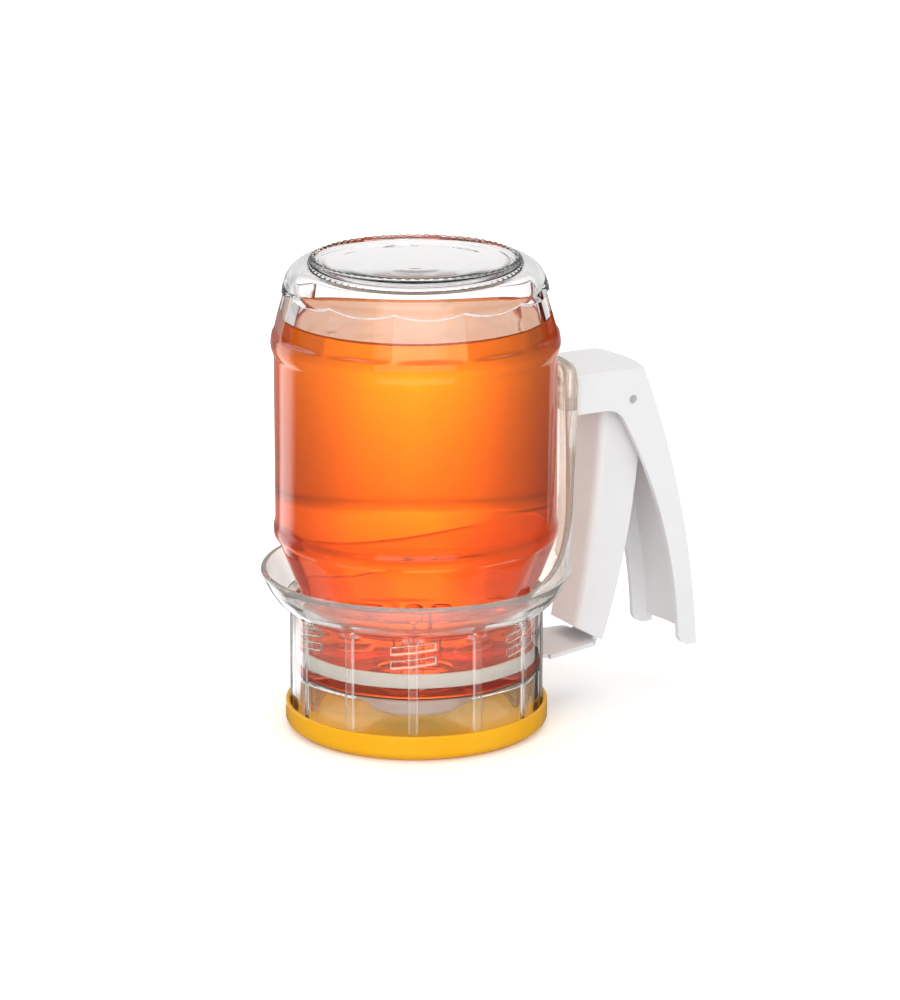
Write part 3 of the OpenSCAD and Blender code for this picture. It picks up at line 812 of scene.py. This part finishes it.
# Light levels round the object, as pairs of compass angle and level: 0 degrees is straight behind it.
BEHIND = ((-180, 0.6), (-90, 0.9), (-64, 0.5), (-45, 0.3), (-35, 0.35), (-28, 0.5), (-20, 0.85),
          (-14, 1.4), (-7, 2.5), (0, 3.4), (7, 2.6), (14, 1.5), (20, 1.05), (28, 0.8), (45, 0.7),
          (90, 0.9), (180, 0.6))
MIRRORED = ((-180, 0.2), (-72, 0.15), (-62, 2.6), (-46, 2.6), (-38, 0.3), (-20, 0.4), (20, 0.4),
            (40, 0.1), (90, 0.15), (180, 0.2))
BRIGHTEST = 4.0            # level that a colour of 1 stands for in the charts
THIN_FLOOR = (0.7, 1.15)   # lowest and highest level seen through no more than two clear walls
THIN_SKY = (0.6, 0.85)
DEEP = 5.5                 # surfaces passed before a light path counts as seen through the honey


def around(nt, vector, stops):
    """Light level by compass angle: 0 is straight behind the object, positive to the right."""
    sides = []
    for axis in (right, Vector((-back.x, -back.y, 0)).normalized()):
        dot = nt.nodes.new("ShaderNodeVectorMath")
        dot.operation = "DOT_PRODUCT"
        dot.inputs[1].default_value = axis
        link(nt, vector, dot.inputs[0])
        sides.append(dot.outputs["Value"])
    angle = math_node(nt, "ARCTAN2", *sides)
    chart = nt.nodes.new("ShaderNodeValToRGB")
    link(nt, ramp(nt, angle, 0.0, 1.0, -math.pi, math.pi), chart.inputs["Fac"])
    marks = chart.color_ramp.elements
    for k, (degrees, level) in enumerate(stops):
        if 0 < k < len(stops) - 1:
            mark = marks.new(degrees / 360 + 0.5)
        else:
            mark = marks[0] if k == 0 else marks[-1]
        share = level / BRIGHTEST
        mark.color = (share, share, share, 1)
    return math_node(nt, "MULTIPLY", chart.outputs["Color"], BRIGHTEST)


def mix_values(nt, fac, a, b):
    n = nt.nodes.new("ShaderNodeMix")
    for name, value in (("Factor", fac), ("A", a), ("B", b)):
        if isinstance(value, float):
            n.inputs[name].default_value = value
        else:
            link(nt, value, n.inputs[name])
    return n.outputs["Result"]


def seen(nt, path, vector, thin, fade):
    """White for camera rays, and rings of studio light for what is mirrored or seen through a surface."""
    behind = around(nt, vector, BEHIND)
    deep = ramp(nt, path.outputs["Transmission Depth"], 0.0, 1.0, DEEP - 0.1, DEEP + 0.1)
    kept = math_node(nt, "MAXIMUM", math_node(nt, "MINIMUM", behind, thin[1]), thin[0])
    through = mix_values(nt, deep, kept, math_node(nt, "MULTIPLY", behind, fade))
    inner = mix_values(nt, path.outputs["Is Transmission Ray"], around(nt, vector, MIRRORED), through)
    return mix_values(nt, path.outputs["Is Camera Ray"], inner, 1.0)


def before_scatter(nt, path):
    """1 until the light path has met a matt surface, then 0."""
    return math_node(nt, "LESS_THAN", path.outputs["Diffuse Depth"], 0.5)


def emission(nt, strength):
    e = nt.nodes.new("ShaderNodeEmission")
    link(nt, strength, e.inputs["Strength"])
    return e.outputs[0]


def floor_material():
    """Pale floor that keeps the shadow and turns plain white away from the object."""
    m, nt, bsdf = new_material("floor")
    bsdf.inputs["Base Color"].default_value = (0.93, 0.93, 0.93, 1)
    bsdf.inputs["Roughness"].default_value = 0.9
    bsdf.inputs["Specular IOR Level"].default_value = 0.1
    where = nt.nodes.new("ShaderNodeTexCoord").outputs["Object"]
    length = nt.nodes.new("ShaderNodeVectorMath")
    length.operation = "LENGTH"
    link(nt, where, length.inputs[0])
    distance = length.outputs["Value"]    # in metres from the axis
    path = nt.nodes.new("ShaderNodeLightPath")
    add = nt.nodes.new("ShaderNodeAddShader")
    link(nt, bsdf.outputs[0], add.inputs[0])
    link(nt, emission(nt, ramp(nt, distance, 0.2, 0.8, 0.06, 0.4)), add.inputs[1])
    fade = ramp(nt, distance, 0.3, 1.0, 0.19, 0.51)
    through = emission(nt, seen(nt, path, where, THIN_FLOOR, fade))
    unscattered = mix_shaders(nt, before_scatter(nt, path), bsdf.outputs[0], through)
    surface = mix_shaders(nt, path.outputs["Is Camera Ray"], unscattered, add.outputs[0])
    link(nt, surface, node_of(m, "OUTPUT_MATERIAL").inputs["Surface"])
    return m


FLOOR_HALF = 6
FLOOR_DROP = 0.0002        # keeps the floor just clear of the stand's underside

me = bpy.data.meshes.new("floor")
me.from_pydata([(x * FLOOR_HALF, y * FLOOR_HALF, 0) for x, y in ((-1, -1), (1, -1), (1, 1), (-1, 1))],
               [], [(0, 1, 2, 3)])
floor = bpy.data.objects.new("floor", me)
bpy.context.scene.collection.objects.link(floor)
floor.location.z = -FLOOR_DROP
me.materials.append(floor_material())


def background(nt):
    b = nt.nodes.new("ShaderNodeBackground")
    b.inputs["Color"].default_value = (1, 1, 1, 1)
    return b


def studio():
    """White to the camera, a plain grey room for matt surfaces, rings of light for clear ones."""
    world = bpy.data.worlds.new("studio")
    world.use_nodes = True
    nt = world.node_tree
    nt.nodes.clear()
    path = nt.nodes.new("ShaderNodeLightPath")
    where = nt.nodes.new("ShaderNodeTexCoord").outputs["Generated"]
    room, rings = background(nt), background(nt)
    room.inputs["Strength"].default_value = 0.42
    link(nt, seen(nt, path, where, THIN_SKY, 1.0), rings.inputs["Strength"])
    surface = mix_shaders(nt, before_scatter(nt, path), room.outputs[0], rings.outputs[0])
    link(nt, surface, nt.nodes.new("ShaderNodeOutputWorld").inputs["Surface"])
    return world


bpy.context.scene.world = studio()

add_light("key", (-0.5, -0.8, 0.8), 1.0, 1.2, 4.6, (0, 0, 0.07))
add_light("top", (0.1, 0.1, 1.2), 1.2, 1.2, 7.3, (0, 0, 0.05))
add_light("front", (-0.6, -1.1, 0.45), 1.6, 0.8, 7.0, (0.02, 0, 0.07))
